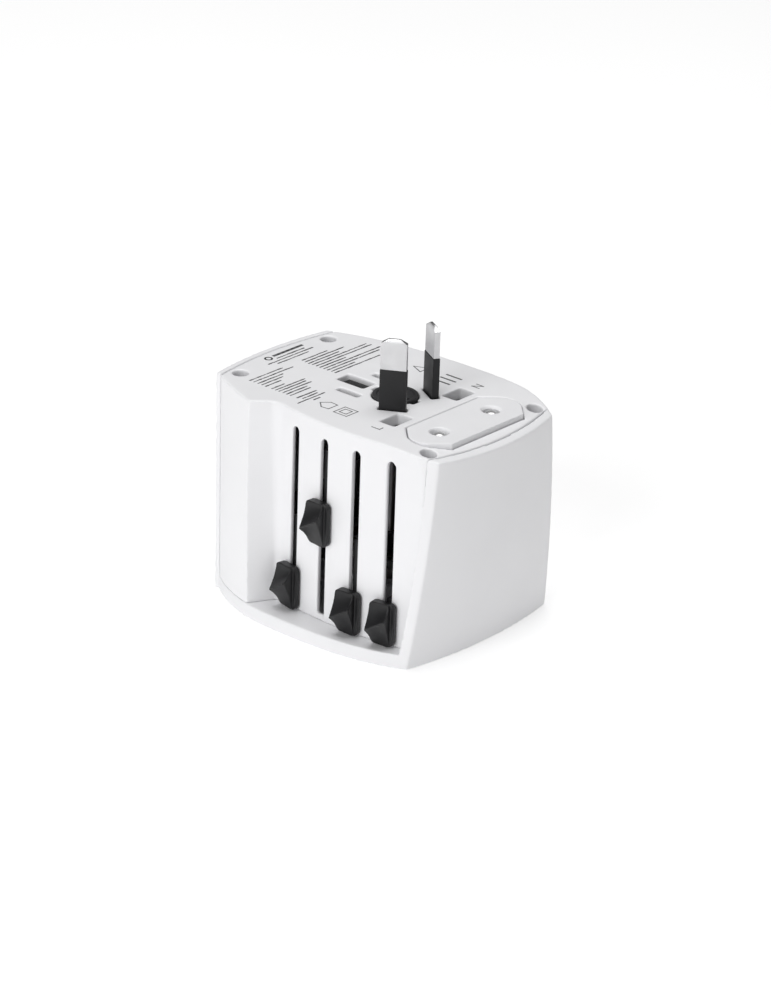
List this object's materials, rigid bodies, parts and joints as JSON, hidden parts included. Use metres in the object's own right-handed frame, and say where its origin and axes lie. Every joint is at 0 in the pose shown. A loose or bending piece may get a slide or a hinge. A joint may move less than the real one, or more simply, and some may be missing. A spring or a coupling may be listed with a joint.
{
  "type": "universal travel adapter",
  "caption": "White block-shaped travel adapter. Black sliders push US, Australian, UK and European plugs out of one end, and the other end holds a universal socket.",
  "frame": {"origin": "middle of the body's outline on the plane of its socket end, which it stands on", "axes": "+Z out of the plug face, +X towards the European plug block, -Y towards the sliders"},
  "size_m": [0.0747, 0.0626, 0.071],
  "materials": {
    "outer_shell": "satin moulded white ABS",
    "plug_housing": "satin moulded white ABS",
    "screw_left_front": "zinc-plated steel",
    "screw_left_back": "zinc-plated steel",
    "screw_right_front": "zinc-plated steel",
    "screw_right_back": "zinc-plated steel",
    "fuse_holder": "moulded grey nylon",
    "fuse_tube": "glazed ceramic",
    "fuse_lower_ferrule": "nickel-plated brass",
    "fuse_upper_ferrule": "nickel-plated brass",
    "fuse_spring": "zinc-plated steel",
    "fuse_lead": "stamped brass",
    "fuse_feed_strip": "stamped brass",
    "line_bus_bar": "stamped brass",
    "neutral_bus_bar": "stamped brass",
    "line_socket_contact": "stamped brass",
    "neutral_socket_contact": "stamped brass",
    "contact_chassis": "moulded grey nylon",
    "shutter_spring": "zinc-plated steel",
    "us_carrier": "moulded grey nylon",
    "us_line_blade": "nickel-plated brass",
    "us_neutral_blade": "nickel-plated brass",
    "us_knob": "fine-grained black plastic",
    "au_carrier": "moulded grey nylon",
    "au_line_blade": "nickel-plated brass",
    "au_line_sleeve": "fine-grained black plastic",
    "au_neutral_blade": "nickel-plated brass",
    "au_neutral_sleeve": "fine-grained black plastic",
    "au_knob": "fine-grained black plastic",
    "uk_carrier": "moulded grey nylon",
    "uk_line_pin": "nickel-plated brass",
    "uk_neutral_pin": "nickel-plated brass",
    "uk_earth_pin": "fine-grained black plastic",
    "uk_knob": "fine-grained black plastic",
    "euro_carrier": "moulded grey nylon",
    "euro_first_pin": "nickel-plated brass",
    "euro_first_sleeve": "fine-grained black plastic",
    "euro_second_pin": "nickel-plated brass",
    "euro_second_sleeve": "fine-grained black plastic",
    "euro_knob": "fine-grained black plastic",
    "euro_plug_block": "satin moulded white ABS",
    "fuse_cap": "dark grey moulded plastic",
    "socket_shutter": "satin moulded white ABS"
  },
  "bodies": {
    "adapter_body": {"outer_shell": "outer_shell", "plug_housing": "plug_housing", "screw_left_front": "screw_left_front", "screw_left_back": "screw_left_back", "screw_right_front": "screw_right_front", "screw_right_back": "screw_right_back", "fuse_holder": "fuse_holder", "fuse_tube": "fuse_tube", "fuse_lower_ferrule": "fuse_lower_ferrule", "fuse_upper_ferrule": "fuse_upper_ferrule", "fuse_spring": "fuse_spring", "fuse_lead": "fuse_lead", "fuse_feed_strip": "fuse_feed_strip", "line_bus_bar": "line_bus_bar", "neutral_bus_bar": "neutral_bus_bar", "line_socket_contact": "line_socket_contact", "neutral_socket_contact": "neutral_socket_contact", "contact_chassis": "contact_chassis", "shutter_spring": "shutter_spring"},
    "us_slider": {"us_carrier": "us_carrier", "us_line_blade": "us_line_blade", "us_neutral_blade": "us_neutral_blade", "us_knob": "us_knob"},
    "au_slider": {"au_carrier": "au_carrier", "au_line_blade": "au_line_blade", "au_line_sleeve": "au_line_sleeve", "au_neutral_blade": "au_neutral_blade", "au_neutral_sleeve": "au_neutral_sleeve", "au_knob": "au_knob"},
    "uk_slider": {"uk_carrier": "uk_carrier", "uk_line_pin": "uk_line_pin", "uk_neutral_pin": "uk_neutral_pin", "uk_earth_pin": "uk_earth_pin", "uk_knob": "uk_knob"},
    "euro_slider": {"euro_carrier": "euro_carrier", "euro_first_pin": "euro_first_pin", "euro_first_sleeve": "euro_first_sleeve", "euro_second_pin": "euro_second_pin", "euro_second_sleeve": "euro_second_sleeve", "euro_knob": "euro_knob"},
    "euro_block": {"euro_plug_block": "euro_plug_block"},
    "fuse_cover": {"fuse_cap": "fuse_cap"},
    "shutter": {"socket_shutter": "socket_shutter"}
  },
  "joints": [
    {"name": "us_slide", "type": "slide", "parent": "adapter_body", "child": "us_slider", "axis": [0, 0, 1], "range_m": [0, 0.0215]},
    {"name": "au_slide", "type": "slide", "parent": "adapter_body", "child": "au_slider", "axis": [0, 0, 1], "range_m": [-0.0195, 0]},
    {"name": "uk_slide", "type": "slide", "parent": "adapter_body", "child": "uk_slider", "axis": [0, 0, 1], "range_m": [0, 0.0236]},
    {"name": "euro_slide", "type": "slide", "parent": "adapter_body", "child": "euro_slider", "axis": [0, 0, 1], "range_m": [0, 0.035]},
    {"name": "euro_block_rise", "type": "slide", "parent": "adapter_body", "child": "euro_block", "axis": [0, 0, 1], "range_m": [0, 0.016]},
    {"name": "fuse_cap_turn", "type": "hinge", "parent": "adapter_body", "child": "fuse_cover", "pos_m": [0.0037, 0, 0.0539], "axis": [0, 0, 1], "range_deg": [0, 90]},
    {"name": "shutter_turn", "type": "hinge", "parent": "adapter_body", "child": "shutter", "pos_m": [0.0011, 0, 0.0107], "axis": [0, 0, 1], "range_deg": [-38, 0], "stiffness_Nm_per_rad": 0.004}
  ],
  "couplings": [
    {"joint": "euro_block_rise", "follows": "euro_slide", "ratio": 0.457}
  ]
}
